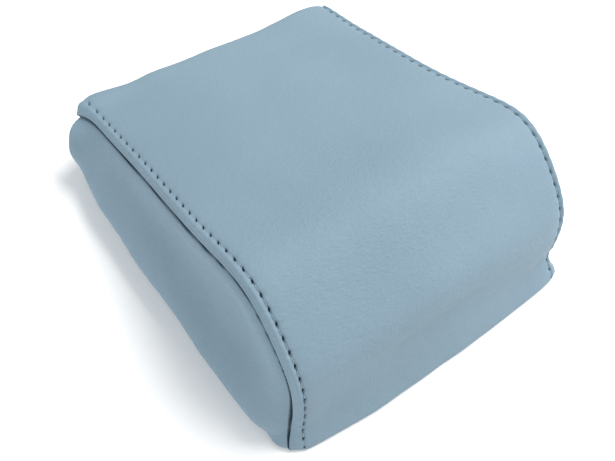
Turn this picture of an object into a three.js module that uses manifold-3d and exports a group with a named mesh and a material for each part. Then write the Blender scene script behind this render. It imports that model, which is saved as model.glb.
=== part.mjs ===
// Contoured head and neck cushion: a sewn leatherette cover over three layers of foam, with a zip
// and two hook strips on its underside. Millimetres, +Z up. X runs across the cushion, -Y is the
// thick rounded nose and +Y the thin end. The origin is the middle of the base, at floor level.
import * as THREE from "three";
import { mergeVertices } from "three/addons/utils/BufferGeometryUtils.js";
import Module from "manifold-3d";

const wasm = await Module();
wasm.setup();

// Cover
const HALF_LENGTH = 134;
const SHOULDER_START = 91.5;      // half width of the flat of the top, before it rolls over
const SHOULDER_RADIUS = 7;
const SHOULDER_ANGLE = 66.4;      // degrees of roll from the flat to the cover's folded edge
const SHOULDER_STEPS = 3;
const SKIN = 1.4;
const RIM_Z = 0.8;                // lower edge of the cover, just above the floor
const GAP = 0.35;                 // air left between neighbouring pieces
const SIDE_GAP = 2;               // and beside the foams, whose faces are flatter than the panels
const STITCH_PITCH = 8;
const FIRST_STITCH = 1;

// Side view of the cover, from the foot of the thin end over the top to the foot of the nose:
// control points of a smooth B-spline, as [y, z].
const PROFILE = [
  [HALF_LENGTH, RIM_Z], [133, 9], [126, 21], [126, 36], [125, 54], [112, 54], [90, 58],
  [50, 67], [5, 78], [-36, 92], [-68, 104], [-93, 89], [-116, 65], [-123, 38], [-121, 19],
  [-131, 9], [-HALF_LENGTH, RIM_Z],
];

// Side panels: how far they swell past the seams
const SIDE_X = 96.4;
const TUCK = 4.2;                 // how far their edge is tucked in under the cover's shoulder
const TUCK_START = SKIN + GAP;
const TUCK_END = 5.2;
const BELLY = [13.4, 22, 21.2, 20.8, 14.3];   // from the thin end to the nose, evenly spaced
const BELLY_Z = 20;
const BELLY_SPREAD = 24.4;
const BELLY_RISE = 9;

// Layers, from the floor up
const HOOK_THICK = 2.6;
const BOTTOM_Z = HOOK_THICK + 0.3;
const TAPE_Z = BOTTOM_Z + SKIN + 0.3;
const TAPE_THICK = 0.5;
const SLAB_Z = TAPE_Z + TAPE_THICK + 0.4;
const SLAB_TOP = 18.3;
const WADDING_THICK = 3.5;
const WADDING_INSET = SKIN + GAP;
const FOAM_INSET = WADDING_INSET + WADDING_THICK + GAP;

// Top of the firm foam wedge inside, thin end to nose, as B-spline control points
const CORE_TOP = [
  [119.5, 26], [75, 34], [10, 51], [-40, 66], [-78, 78], [-97, 55], [-95, SLAB_TOP + GAP],
];

// Hook strips
const HOOK_X = 62;
const HOOK_WIDTH = 25;
const HOOK_REAR_Y = 58;
const HOOK_FRONT_Y = -106;

// Zip
const ZIP_Y = 92;
const ZIP_SLOT = 8;
const ZIP_HALF = 96;
const TAPE_WIDTH = 13;
const COIL_PITCH = 4;
const COIL_TURN = [1.6, 2.4, 1.2];
const COIL_SPINE = 0.7;
const CHAIN_SLIT = 1;             // width left clear along the middle of the chain
const COIL_Z = TAPE_Z - 0.2 - COIL_TURN[2];
const SLIDER_LENGTH = 12.5;
const SLIDER_WIDTH = 8.6;
const SLIDER_PLATE = 0.8;
const STOP_X = 86;
const STOP_HALF = 1.4;
const STOP_Z = 2.2;
const STOP_NEAR = 0.4;
const STOP_FAR = CHAIN_SLIT / 2 + COIL_TURN[1] - COIL_SPINE - 0.3;
const SLIDER_X = STOP_X - STOP_HALF - 0.4 - SLIDER_LENGTH / 2;
const PIVOT_Z = 1.05;
const PIVOT_PIN = 0.3;
const KNUCKLE_RADIUS = 0.7;
const KNUCKLE_WIDTH = 5.2;
const TAB_LENGTH = 24;
const TAB_THICK = 0.9;

const material = (color, roughness, metalness = 0) =>
  new THREE.MeshStandardMaterial({ color, roughness, metalness });
const LEATHERETTE = material(0x98afbe, 0.45);
const THREAD = material(0x8ea6b6, 0.6);
const WADDING = material(0xf1f0ec, 1);
const SOFT_FOAM = material(0xf3e6c0, 1);
const FIRM_FOAM = material(0xd8d9dc, 1);
const BASE_FOAM = material(0x8f959b, 1);
const TAPE = material(0x7f97a8, 0.9);
const COIL = material(0x7b93a4, 0.4);
const METAL = material(0xb9bcc0, 0.3, 1);
const HOOK = material(0x52606b, 0.8);

// Cubic B-spline through the middle of its control polygon, starting and ending on its end points.
class SmoothOutline extends THREE.Curve {
  constructor(control) {
    super();
    const points = control.map(([y, z]) => new THREE.Vector2(y, z));
    const beyond = (end, next) => end.clone().multiplyScalar(2).sub(next);
    this.control = [
      beyond(points[0], points[1]), ...points, beyond(points.at(-1), points.at(-2)),
    ];
  }

  getPoint(t) {
    const spans = this.control.length - 3;
    const span = Math.min(Math.floor(t * spans), spans - 1);
    const f = t * spans - span;
    const weights = [
      (1 - f) ** 3, 3 * f ** 3 - 6 * f ** 2 + 4, -3 * f ** 3 + 3 * f ** 2 + 3 * f + 1, f ** 3,
    ];
    const point = new THREE.Vector2();
    weights.forEach((weight, i) => point.addScaledVector(this.control[span + i], weight / 6));
    return point;
  }
}

const profile = new SmoothOutline(PROFILE);
const STATIONS = Math.round(profile.getLength() / STITCH_PITCH);
const coverPath = profile.getSpacedPoints(STATIONS);

// Unit normals of a side-view path, pointing into the cushion.
function inwardNormals(path) {
  return path.map((point, i) => {
    const before = path[Math.max(i - 1, 0)];
    const after = path[Math.min(i + 1, path.length - 1)];
    const along = after.clone().sub(before).normalize();
    return new THREE.Vector2(-along.y, along.x);
  });
}

const coverNormals = inwardNormals(coverPath);
const insetPath = (depth) =>
  coverPath.map((point, i) => point.clone().addScaledVector(coverNormals[i], depth));

// Distance from a side-view point to the cover's outside.
function coverDepth(y, z) {
  const point = new THREE.Vector3(y, z, 0);
  const nearest = new THREE.Vector3();
  let depth = Infinity;
  for (let i = 0; i < STATIONS; i += 1) {
    const [a, b] = [coverPath[i], coverPath[i + 1]];
    const edge = new THREE.Line3(new THREE.Vector3(a.x, a.y, 0), new THREE.Vector3(b.x, b.y, 0));
    edge.closestPointToPoint(point, true, nearest);
    depth = Math.min(depth, nearest.distanceTo(point));
  }
  return depth;
}

function bellyAt(y) {
  const place = ((HALF_LENGTH - y) / (2 * HALF_LENGTH)) * (BELLY.length - 1);
  const low = THREE.MathUtils.clamp(Math.floor(place), 0, BELLY.length - 2);
  return THREE.MathUtils.lerp(BELLY[low], BELLY[low + 1], place - low);
}

// Outer half width of the side panel at a side-view point.
function sideX(y, z) {
  const depth = coverDepth(y, z);
  const tuck = TUCK * (1 - THREE.MathUtils.smoothstep(depth, TUCK_START, TUCK_END));
  const rise = 1 - Math.exp(-Math.max(0, depth - TUCK_END) / BELLY_RISE);
  const swell = Math.exp(-(((z - BELLY_Z) / BELLY_SPREAD) ** 2));
  return SIDE_X - tuck + bellyAt(y) * swell * rise;
}

// Geometry from vertices and triangles, turned so that its faces point out.
function closedGeometry(vertices, triangles) {
  let volume = 0;
  for (const [a, b, c] of triangles) {
    volume += vertices[a].dot(vertices[b].clone().cross(vertices[c]));
  }
  const faces = volume < 0 ? triangles.map(([a, b, c]) => [a, c, b]) : triangles;
  const geometry = new THREE.BufferGeometry().setFromPoints(vertices);
  geometry.setIndex(faces.flat());
  return geometry;
}

// Solid between two grids of points that match row for row: both faces and the rim around them.
function sheetSolid(face, back) {
  const rows = face.length;
  const columns = face[0].length;
  const behind = rows * columns;
  const triangles = [];
  const quad = (a, b, c, d) => triangles.push([a, b, c], [a, c, d]);
  for (let row = 0; row < rows - 1; row += 1) {
    for (let column = 0; column < columns - 1; column += 1) {
      const a = row * columns + column;
      const c = a + columns + 1;
      quad(a, a + 1, c, c - 1);
      quad(behind + a, behind + c - 1, behind + c, behind + a + 1);
    }
  }
  const rim = [];
  for (let column = 0; column < columns - 1; column += 1) rim.push(column);
  for (let row = 0; row < rows - 1; row += 1) rim.push((row + 1) * columns - 1);
  for (let column = columns - 1; column > 0; column -= 1) rim.push((rows - 1) * columns + column);
  for (let row = rows - 1; row > 0; row -= 1) rim.push(row * columns);
  rim.forEach((a, i) => {
    const b = rim[(i + 1) % rim.length];
    quad(b, a, behind + a, behind + b);
  });
  return closedGeometry([...face.flat(), ...back.flat()], triangles);
}

// Side-view points between an upper and a lower path that match point for point.
function sideGrid(upper, lower, rows) {
  const grid = [];
  for (let row = 0; row <= rows; row += 1) {
    grid.push(upper.map((point, i) => point.clone().lerp(lower[i], row / rows)));
  }
  return grid;
}

// Solid that fills the width between the side panels over a side-view grid.
function fillBetweenSides(grid) {
  const face = (sign) => grid.map((row) => row.map(({ x: y, y: z }) =>
    new THREE.Vector3(sign * (sideX(y, z) - SKIN - SIDE_GAP), y, z)));
  return sheetSolid(face(1), face(-1));
}

// Half section of the cover across its shoulder, at a depth under its outside, as [x, depth].
function shoulder(depth) {
  const section = [];
  for (let step = 0; step <= SHOULDER_STEPS; step += 1) {
    const angle = THREE.MathUtils.degToRad((SHOULDER_ANGLE * step) / SHOULDER_STEPS);
    const radius = SHOULDER_RADIUS - depth;
    section.push([
      SHOULDER_START + radius * Math.sin(angle), SHOULDER_RADIUS - radius * Math.cos(angle),
    ]);
  }
  return section;
}

// Grid of points under the cover's outside: one row per station, across both shoulders.
function coverGrid(depth) {
  const half = shoulder(depth);
  const section = [...half.map(([x, d]) => [-x, d]).reverse(), ...half];
  return coverPath.map((point, i) => section.map(([x, d]) => {
    const { x: y, y: z } = point.clone().addScaledVector(coverNormals[i], d);
    return new THREE.Vector3(x, y, Math.max(z, RIM_Z));
  }));
}

function topWrapPanel() {
  return sheetSolid(coverGrid(0), coverGrid(SKIN));
}

// Topstitch thread along one shoulder: it lies on the cover, thin where it dips into each hole and
// full between the holes.
function topstitch(sign) {
  const WIDTH = 0.9;
  const LIFT = 0.15;
  const THIN = 0.15;
  const FULL = 0.7;
  const grid = coverGrid(0);
  const inner = sign > 0 ? grid[0].length - SHOULDER_STEPS - 1 : SHOULDER_STEPS;
  const across = (i) => grid[i][inner + sign].clone().sub(grid[i][inner]);
  const middle = (i) => grid[i][inner].clone().addScaledVector(across(i), 0.5);
  const under = [];
  const over = [];
  const crossing = (centre, side, out, height) => {
    const edges = [-WIDTH / 2, WIDTH / 2].map((x) => centre.clone().addScaledVector(side, x));
    under.push(edges.map((edge) => edge.clone().addScaledVector(out, LIFT)));
    over.push(edges.map((edge) => edge.clone().addScaledVector(out, LIFT + height)));
  };
  for (let i = FIRST_STITCH; i < STATIONS - 1; i += 1) {
    const along = middle(i + 1).sub(middle(i)).normalize();
    const side = across(i).normalize();
    const out = along.cross(side).multiplyScalar(sign);
    crossing(middle(i), side, out, THIN);
    crossing(middle(i).lerp(middle(i + 1), 0.2), side, out, FULL);
    crossing(middle(i).lerp(middle(i + 1), 0.8), side, out, FULL);
  }
  return sheetSolid(over, under);
}

// Side panel, tucked in under the shoulder all the way round and swelling out low down.
function sidePanel(sign) {
  const ROWS = 7;
  const edge = insetPath(TUCK_START).slice(1, -1);
  const upper = insetPath(TUCK_END).slice(1, -1);
  let y = Infinity;
  const lower = upper.map((point) => {
    y = Math.min(y, point.x);
    return new THREE.Vector2(y, RIM_Z + 0.2);
  });
  const grid = [edge, ...sideGrid(upper, lower, ROWS)];
  const face = (depth) => grid.map((row) => row.map(({ x, y: z }) =>
    new THREE.Vector3(sign * (sideX(x, z) - depth), x, z)));
  return sheetSolid(face(0), face(SKIN));
}

// Bottom panel between two places along the cushion, ending inside the side panels.
function bottomPanel(rearY, frontY) {
  const STEP = 9;
  const count = Math.ceil((rearY - frontY) / STEP);
  const layer = (z) => {
    const grid = [];
    for (let i = 0; i <= count; i += 1) {
      const y = THREE.MathUtils.lerp(rearY, frontY, i / count);
      const x = sideX(y, BOTTOM_Z) - SKIN - SIDE_GAP / 2;
      grid.push([new THREE.Vector3(-x, y, z), new THREE.Vector3(x, y, z)]);
    }
    return grid;
  };
  return sheetSolid(layer(BOTTOM_Z + SKIN), layer(BOTTOM_Z));
}

function waddingWrap() {
  const X = SHOULDER_START - 1;
  const layer = (depth) => insetPath(depth).slice(2, -2)
    .map(({ x: y, y: z }) => [new THREE.Vector3(-X, y, z), new THREE.Vector3(X, y, z)]);
  return sheetSolid(layer(WADDING_INSET), layer(WADDING_INSET + WADDING_THICK));
}

const coreTop = new SmoothOutline(CORE_TOP);

// Soft foam over the wedge: from low on the thin end's face, over the top and down the nose.
function comfortFoamLayer() {
  const FIRST = 4;
  const LAST = 3;
  const ROWS = 3;
  const upper = insetPath(FOAM_INSET).slice(FIRST, -LAST);
  const path = coreTop.getSpacedPoints(upper.length - 1);
  const inward = inwardNormals(path);
  const lower = path.map((point, i) => point.clone().addScaledVector(inward[i], -GAP));
  return fillBetweenSides(sideGrid(upper, lower, ROWS));
}

function supportFoamCore() {
  const COLUMNS = 26;
  const ROWS = 4;
  const upper = coreTop.getSpacedPoints(COLUMNS);
  const front = CORE_TOP.at(-1)[0];
  const floor = SLAB_TOP + GAP;
  const lower = upper.map((point) => new THREE.Vector2(Math.max(point.x, front), floor));
  upper.at(-1).y = floor + 1;
  return fillBetweenSides(sideGrid(upper, lower, ROWS));
}

// Firm slab under the wedge, as wide as the flared foot, with a groove over the zip.
function baseFoamSlab() {
  const COLUMNS = 24;
  const ROWS = 3;
  const TOP_ENDS = [120.2, -114.8];
  const FOOT_ENDS = [124.5, -122.5];
  const GROOVE = [230, SLIDER_WIDTH + 3, 2 * (SLAB_Z + 1.8)];
  const edge = ([rear, front], z) => {
    const points = [];
    for (let i = 0; i <= COLUMNS; i += 1) {
      points.push(new THREE.Vector2(THREE.MathUtils.lerp(rear, front, i / COLUMNS), z));
    }
    return points;
  };
  const slab = fillBetweenSides(sideGrid(edge(TOP_ENDS, SLAB_TOP), edge(FOOT_ENDS, SLAB_Z), ROWS));
  const groove = new THREE.BoxGeometry(...GROOVE).translate(0, ZIP_Y, 0);
  return fromManifold(toManifold(slab).subtract(toManifold(groove)));
}

function toManifold(geometry) {
  const bare = geometry.clone();
  bare.deleteAttribute("normal");
  bare.deleteAttribute("uv");
  const merged = mergeVertices(bare);
  return new wasm.Manifold(new wasm.Mesh({
    numProp: 3,
    vertProperties: merged.attributes.position.array,
    triVerts: new Uint32Array(merged.index.array),
  }));
}

function fromManifold(solid) {
  const mesh = solid.getMesh();
  const geometry = new THREE.BufferGeometry();
  geometry.setAttribute("position", new THREE.BufferAttribute(mesh.vertProperties, 3));
  geometry.setIndex(new THREE.BufferAttribute(mesh.triVerts, 1));
  return geometry;
}

// Box between two corners.
function block([x0, y0, z0], [x1, y1, z1]) {
  const box = new THREE.BoxGeometry(x1 - x0, y1 - y0, z1 - z0);
  return box.translate((x0 + x1) / 2, (y0 + y1) / 2, (z0 + z1) / 2);
}

function hookStrip(sign) {
  const x = sign * HOOK_X;
  return block(
    [x - HOOK_WIDTH / 2, HOOK_FRONT_Y, 0], [x + HOOK_WIDTH / 2, HOOK_REAR_Y, HOOK_THICK],
  );
}

// Half of the zip's tape; side is -1 towards the nose and 1 towards the thin end.
function zipTape(side) {
  const near = ZIP_Y + (side * CHAIN_SLIT) / 2;
  const far = near + side * TAPE_WIDTH;
  const x = sideX(ZIP_Y, TAPE_Z) - SKIN - 2 * SIDE_GAP;
  return block([-x, Math.min(near, far), TAPE_Z], [x, Math.max(near, far), TAPE_Z + TAPE_THICK]);
}

// Half of the chain: a comb whose turns point at the slit, left out where the stops are clamped on.
function zipCoil(side) {
  const [length, width, height] = COIL_TURN;
  const comb = new THREE.Shape();
  comb.moveTo(-ZIP_HALF, COIL_SPINE);
  comb.lineTo(-ZIP_HALF, 0);
  comb.lineTo(ZIP_HALF, 0);
  comb.lineTo(ZIP_HALF, COIL_SPINE);
  for (let x = ZIP_HALF - COIL_PITCH; x > -ZIP_HALF; x -= COIL_PITCH) {
    if (Math.abs(Math.abs(x) - STOP_X) < COIL_PITCH) continue;
    comb.lineTo(x + length / 2, COIL_SPINE);
    comb.lineTo(x + length / 2, width);
    comb.lineTo(x - length / 2, width);
    comb.lineTo(x - length / 2, COIL_SPINE);
  }
  const coil = new THREE.ExtrudeGeometry(comb, { depth: height, bevelEnabled: false });
  if (side > 0) coil.rotateZ(Math.PI);
  return coil.translate(0, ZIP_Y + side * (CHAIN_SLIT / 2 + width), COIL_Z);
}

// Slider: a plate on each side of the chain, a thin web between them in the chain's slit, and two
// lugs with a pin for the pull tab.
function zipSlider() {
  const LUG = 0.6;
  const low = BOTTOM_Z - 0.2 - SLIDER_PLATE;
  const high = TAPE_Z + TAPE_THICK + 0.3;
  const halfLength = SLIDER_LENGTH / 2;
  const halfWidth = SLIDER_WIDTH / 2;
  const lugY = KNUCKLE_WIDTH / 2 + 0.15;
  const pin = new THREE.CylinderGeometry(PIVOT_PIN, PIVOT_PIN, 2 * lugY + LUG, 12);
  const pieces = [
    block([-halfLength, -halfWidth, low], [halfLength, halfWidth, low + SLIDER_PLATE]),
    block([-halfLength, -halfWidth, high], [halfLength, halfWidth, high + SLIDER_PLATE]),
    block([-1.5, -CHAIN_SLIT / 4, low + 0.1], [1.5, CHAIN_SLIT / 4, high + 0.1]),
    block([-1, -lugY - LUG, PIVOT_Z - 0.7], [1, -lugY, low + 0.1]),
    block([-1, lugY, PIVOT_Z - 0.7], [1, lugY + LUG, low + 0.1]),
    pin.translate(0, 0, PIVOT_Z),
  ];
  return fromManifold(pieces.map(toManifold).reduce((whole, piece) => whole.add(piece)));
}

// Pull tab: a leaf with a round knuckle that turns on the slider's pin, lying along the chain.
function zipPullTab() {
  const HOLE = PIVOT_PIN + 0.1;
  const side = new THREE.Shape();
  const half = TAB_THICK / 2;
  const start = Math.asin(half / KNUCKLE_RADIUS);
  side.moveTo(-TAB_LENGTH, -half);
  side.lineTo(-Math.cos(start) * KNUCKLE_RADIUS, -half);
  side.absarc(0, 0, KNUCKLE_RADIUS, Math.PI + start, 3 * Math.PI - start, false);
  side.lineTo(-TAB_LENGTH, half);
  side.closePath();
  side.holes.push(new THREE.Path().absarc(0, 0, HOLE, 0, 2 * Math.PI, true));
  const leaf = new THREE.ExtrudeGeometry(side, {
    depth: KNUCKLE_WIDTH, bevelEnabled: false, curveSegments: 10,
  });
  leaf.translate(0, 0, -KNUCKLE_WIDTH / 2).rotateX(Math.PI / 2);
  return leaf;
}

// Metal stop clamped on the chain's edge, or across the whole chain at its open end.
function zipStop(x, nearY, farY) {
  return block(
    [x - STOP_HALF, ZIP_Y + nearY, STOP_Z], [x + STOP_HALF, ZIP_Y + farY, TAPE_Z - 0.2],
  );
}

// Where the inside of the cover crosses a height, at the nose (sign -1) or the thin end (sign 1).
function insideEnd(z, sign) {
  const path = insetPath(SKIN);
  const crossings = [];
  for (let i = 0; i < STATIONS; i += 1) {
    const [a, b] = [path[i], path[i + 1]];
    if ((a.y - z) * (b.y - z) > 0) continue;
    crossings.push(THREE.MathUtils.lerp(a.x, b.x, (z - a.y) / (b.y - a.y)));
  }
  const end = sign * Math.max(...crossings.map((y) => sign * y));
  return end - sign * 3 * GAP;
}

const named = (name, geometry, look) => {
  const mesh = new THREE.Mesh(geometry, look);
  mesh.name = name;
  return mesh;
};

const cushion = new THREE.Group();
cushion.add(
  named("top_wrap_panel", topWrapPanel(), LEATHERETTE),
  named("side_panel_left", sidePanel(-1), LEATHERETTE),
  named("side_panel_right", sidePanel(1), LEATHERETTE),
  named("bottom_panel_front", bottomPanel(ZIP_Y - ZIP_SLOT / 2, insideEnd(BOTTOM_Z, -1)), LEATHERETTE),
  named("bottom_panel_rear", bottomPanel(insideEnd(BOTTOM_Z, 1), ZIP_Y + ZIP_SLOT / 2), LEATHERETTE),
  named("topstitch_left", topstitch(-1), THREAD),
  named("topstitch_right", topstitch(1), THREAD),
  named("wadding_wrap", waddingWrap(), WADDING),
  named("comfort_foam_layer", comfortFoamLayer(), SOFT_FOAM),
  named("support_foam_core", supportFoamCore(), FIRM_FOAM),
  named("base_foam_slab", baseFoamSlab(), BASE_FOAM),
  named("hook_strip_left", hookStrip(-1), HOOK),
  named("hook_strip_right", hookStrip(1), HOOK),
  named("zip_tape_front", zipTape(-1), TAPE),
  named("zip_tape_rear", zipTape(1), TAPE),
  named("zip_coil_front", zipCoil(-1), COIL),
  named("zip_coil_rear", zipCoil(1), COIL),
  named("zip_top_stop_front", zipStop(STOP_X, -STOP_FAR, -STOP_NEAR), METAL),
  named("zip_top_stop_rear", zipStop(STOP_X, STOP_NEAR, STOP_FAR), METAL),
  named("zip_bottom_stop", zipStop(-STOP_X, -STOP_FAR, STOP_FAR), METAL),
);

const slider = new THREE.Group();
slider.position.set(SLIDER_X, ZIP_Y, 0);
const pull = named("zip_pull_tab", zipPullTab(), METAL);
pull.position.z = PIVOT_Z;
slider.add(named("zip_slider", zipSlider(), METAL), pull);
cushion.add(slider);

export default cushion;
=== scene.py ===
"""Looks of a contoured head and neck cushion: a sewn leatherette cover over foam, with a zip and two
hook strips underneath. Lengths are in millimetres until a mesh is made, which turns them into metres.
X runs across the cushion, -Y is the thick rounded nose, +Y the thin end, and Z is up."""

import math

import bmesh
import bpy
import numpy as np
from mathutils import Matrix, Vector
from mathutils.kdtree import KDTree


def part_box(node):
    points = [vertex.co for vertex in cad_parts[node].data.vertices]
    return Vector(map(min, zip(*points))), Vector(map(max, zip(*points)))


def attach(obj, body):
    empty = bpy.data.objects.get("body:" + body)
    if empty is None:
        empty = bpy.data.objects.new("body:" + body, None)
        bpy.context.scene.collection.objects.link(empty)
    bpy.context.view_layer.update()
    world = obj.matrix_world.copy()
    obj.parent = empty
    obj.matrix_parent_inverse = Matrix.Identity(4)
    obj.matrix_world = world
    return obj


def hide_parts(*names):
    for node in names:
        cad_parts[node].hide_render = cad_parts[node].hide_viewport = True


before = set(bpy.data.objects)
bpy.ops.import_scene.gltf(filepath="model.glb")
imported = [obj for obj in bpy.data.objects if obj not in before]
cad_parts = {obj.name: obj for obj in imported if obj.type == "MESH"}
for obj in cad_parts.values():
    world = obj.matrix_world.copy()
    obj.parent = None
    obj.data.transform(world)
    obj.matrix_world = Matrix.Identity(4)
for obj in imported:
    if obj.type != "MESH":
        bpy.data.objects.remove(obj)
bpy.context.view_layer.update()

MM = 0.001

# Cover
HALF_LENGTH = 134.0
PROFILE = [                     # side view as B-spline control points, thin end's foot to nose's foot
    (HALF_LENGTH, 0.8), (133, 9), (126, 21), (126, 36), (125, 54), (112, 54), (90, 58), (50, 67),
    (5, 78), (-36, 92), (-68, 104), (-93, 89), (-116, 65), (-123, 38), (-121, 19), (-131, 9),
    (-HALF_LENGTH, 0.8),
]
SKIN = 1.3
ROW_STEP = 0.5
REAR_CUT = 3.3                  # height where the cover turns in under the thin end
FRONT_CUT = 3.6                 # and under the nose
CURL_RADIUS = 2.2
CURL_TAIL = 3.0

# Shoulder: where the top rolls over to its folded edge
ROLL_START = 91.5
ROLL_RADIUS = 7.0
FOOT_ROLL_RADIUS = 30.0         # the strip lies nearly flat at both feet
FOOT_LENGTH = 22.0
STITCH_L = 93.2                 # distance across the cover from its middle to the topstitch
MARGIN = 6.4                    # topstitch to folded edge
FOLD_RADIUS = 0.95
SEAM_DRIFT = [                  # share of the cover's length, and how far the seams wander outward
    (0, -0.5), (0.15, -0.2), (0.35, -0.8), (0.55, 0.4), (0.7, 0), (0.8, 0.5), (0.9, 1.1), (1, 5.1),
]

# Topstitch
STITCH_PITCH = 8.08
FIRST_STITCH = 2.04
STITCH_COUNT = 46

# Side panels
BELLY = (15.5, 22, 21.8, 20.3, 18.5)        # from the thin end to the nose, evenly spaced
BELLY_Z = 20.0
BELLY_SPREAD = 22.0
BELLY_RISE = 9.0
SIDE_FOOT = 3.6                 # height where the panel turns in under the cushion

# Zip and hook strips, as the frame has them
ZIP_Y = 92.0
ZIP_SLOT = 8.0
COIL_Z = 3.8
HOOK_X = 62.0
HOOK_WIDTH = 25.0

rng = np.random.default_rng(11)


# ------------------------------------------------------------------------------------------ lines

def b_spline(control, count):
    """Points of a uniform cubic B-spline that starts and ends on its end points."""
    c = np.array(control, float)
    c = np.vstack([2 * c[0] - c[1], c, 2 * c[-1] - c[-2]])
    spans = len(c) - 3
    t = np.linspace(0, spans, count)
    i = np.minimum(t.astype(int), spans - 1)
    f = (t - i)[:, None]
    weights = (
        (1 - f) ** 3, 3 * f ** 3 - 6 * f ** 2 + 4, -3 * f ** 3 + 3 * f ** 2 + 3 * f + 1, f ** 3,
    )
    return sum(w * c[i + k] for k, w in enumerate(weights)) / 6


def arc_lengths(points):
    return np.r_[0, np.cumsum(np.linalg.norm(np.diff(points, axis=0), axis=1))]


def at_arcs(points, arcs):
    """Points of a line at distances along it."""
    own = arc_lengths(points)
    return np.stack([np.interp(arcs, own, column) for column in points.T], -1)


def unit(vectors):
    return vectors / np.maximum(np.linalg.norm(vectors, axis=-1, keepdims=True), 1e-9)


def inward_normals(points):
    """Unit normals of a side-view line that runs from the thin end to the nose, pointing inside."""
    along = unit(np.gradient(points, axis=0))
    return np.c_[-along[:, 1], along[:, 0]]


def smoothstep(low, high, value):
    t = np.clip((value - low) / (high - low), 0, 1)
    return t * t * (3 - 2 * t)


def bump(value, spread):
    """Bell curve, 1 at value 0."""
    return np.exp(-(value / spread) ** 2)


def ripples(u, v, longest, shortest, height, count=24):
    """Seeded unevenness over two coordinates: a sum of waves with lengths in a range."""
    total = 0
    for _ in range(count):
        length = rng.uniform(shortest, longest)
        heading, phase = rng.uniform(0, 2 * math.pi, 2)
        total = total + np.cos(
            2 * math.pi * (u * math.cos(heading) + v * math.sin(heading)) / length + phase)
    return height * total / math.sqrt(count)


def turned_in(point, out, inward):
    """Edge of a panel turned in from a point: an arc and a short straight."""
    angles = np.radians(np.arange(12, 157, 12))[:, None]
    arc = point + CURL_RADIUS * (inward * (1 - np.cos(angles)) + out * np.sin(angles))
    ahead = inward * math.sin(angles[-1, 0]) + out * math.cos(angles[-1, 0])
    return np.vstack([arc, arc[-1] + ahead * np.linspace(0.6, CURL_TAIL, 5)[:, None]])


def cover_outline():
    """Side-view line of the cover with both edges turned in, and each point's place along it; the
    line's length; and the same line before its edges are turned in."""
    whole = b_spline(PROFILE, 6000)
    length = arc_lengths(whole)[-1]
    arcs = np.arange(0, length, ROW_STEP)
    uncut = at_arcs(whole, arcs), arcs
    line = uncut[0]
    kept = slice(np.argmax(line[:, 1] > REAR_CUT), len(line) - np.argmax(line[::-1, 1] > FRONT_CUT))
    line, arcs = line[kept], arcs[kept]
    normals = inward_normals(line)
    rear = turned_in(line[0], unit(line[0] - line[1]), normals[0])[::-1]
    front = turned_in(line[-1], unit(line[-1] - line[-2]), normals[-1])
    path = np.vstack([rear, line, front])
    before = arcs[0] - arc_lengths(np.vstack([line[0], rear[::-1]]))[:0:-1]
    after = arcs[-1] + arc_lengths(np.vstack([line[-1], front]))[1:]
    return path, np.r_[before, arcs, after], length, *uncut


path, path_s, cover_length, outline, outline_s = cover_outline()
path_normals = inward_normals(path)
REAR_CORNER_S = 52.8


def seam_drift(s):
    """How far outward the seams wander at places along the cover, smoothed over their bends."""
    share, drift = np.array(SEAM_DRIFT).T
    offsets = np.linspace(-14, 14, 15)
    spread = bump(offsets, 8)
    steady = sum(w * np.interp((s + o) / cover_length, share, drift)
                 for w, o in zip(spread, offsets)) / spread.sum()
    return steady + 1.6 * bump(s - REAR_CORNER_S + 3, 13)


def fold_inset(s, side):
    """The same for the cover's folded edge, and the side panel beside it."""
    return foot_inset(s, side * (STITCH_L + MARGIN + 2.0))


def foot_inset(s, x):
    """How far back the flared foot of the nose is drawn in towards its two corners."""
    corner = 3.6 * np.clip((np.abs(x) - 45) / 50, 0, 1) ** 1.5 + 3.4 * smoothstep(95, 105, np.abs(x))
    inset = np.where(x < 0, 1.0, 0.45) * corner - 0.7 * bump(x + 10, 60)
    return inset * smoothstep(cover_length - 34, cover_length - 2, s)


def ear_spread(s, side):
    """How far the strip outside the topstitch is drawn out at the near rear corner."""
    return 3.6 * bump(s - REAR_CORNER_S, 9) if side < 0 else 0 * s


def fullness(s, x):
    """How far the stuffing pushes the nose out: over the hollow of its foot, except at the pinched
    far corner, and in a fuller front with a slight hollow under it along the middle."""
    to_foot = cover_length - s
    filled = 2.8 * bump(to_foot - 21, 13) * (1 - smoothstep(20, 95, x)) * (1 - 0.4 * smoothstep(50, 90, -x))
    return filled + (3.0 * bump(to_foot - 68, 15) - 2.6 * bump(to_foot - 43, 11)) * bump(x, 66)


def roll_radius(s):
    """Radius of the shoulder at places along the cover."""
    foot = 1 - smoothstep(0, FOOT_LENGTH, np.minimum(s, cover_length - s))
    return ROLL_RADIUS + (FOOT_ROLL_RADIUS - ROLL_RADIUS) * foot ** 2


# ----------------------------------------------------------------------------------------- meshes

def piece(name, points, faces, material, body="cushion", smooth=True):
    """Mesh object from points in millimetres, riding on a body, its faces turned outward."""
    points = np.asarray(points, float).reshape(-1, 3)
    first, second, third = (points[[f[k] for f in faces]] for k in range(3))
    if np.einsum("ij,ij", first, np.cross(second, third)) < 0:
        faces = [f[::-1] for f in faces]
    mesh = bpy.data.meshes.new(name)
    mesh.from_pydata((points * MM).tolist(), [], faces)
    mesh.validate()
    if smooth:
        mesh.shade_smooth()
    mesh.materials.append(material)
    made = bpy.data.objects.new(name, mesh)
    bpy.context.scene.collection.objects.link(made)
    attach(made, body)
    return made


def grid_faces(rows, columns, ring=False, start=0):
    index = start + np.arange(rows * columns).reshape(rows, columns)
    if ring:
        index = np.c_[index, index[:, :1]]
    quads = [index[:-1, :-1], index[:-1, 1:], index[1:, 1:], index[1:, :-1]]
    return np.stack(quads, -1).reshape(-1, 4).tolist()


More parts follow.
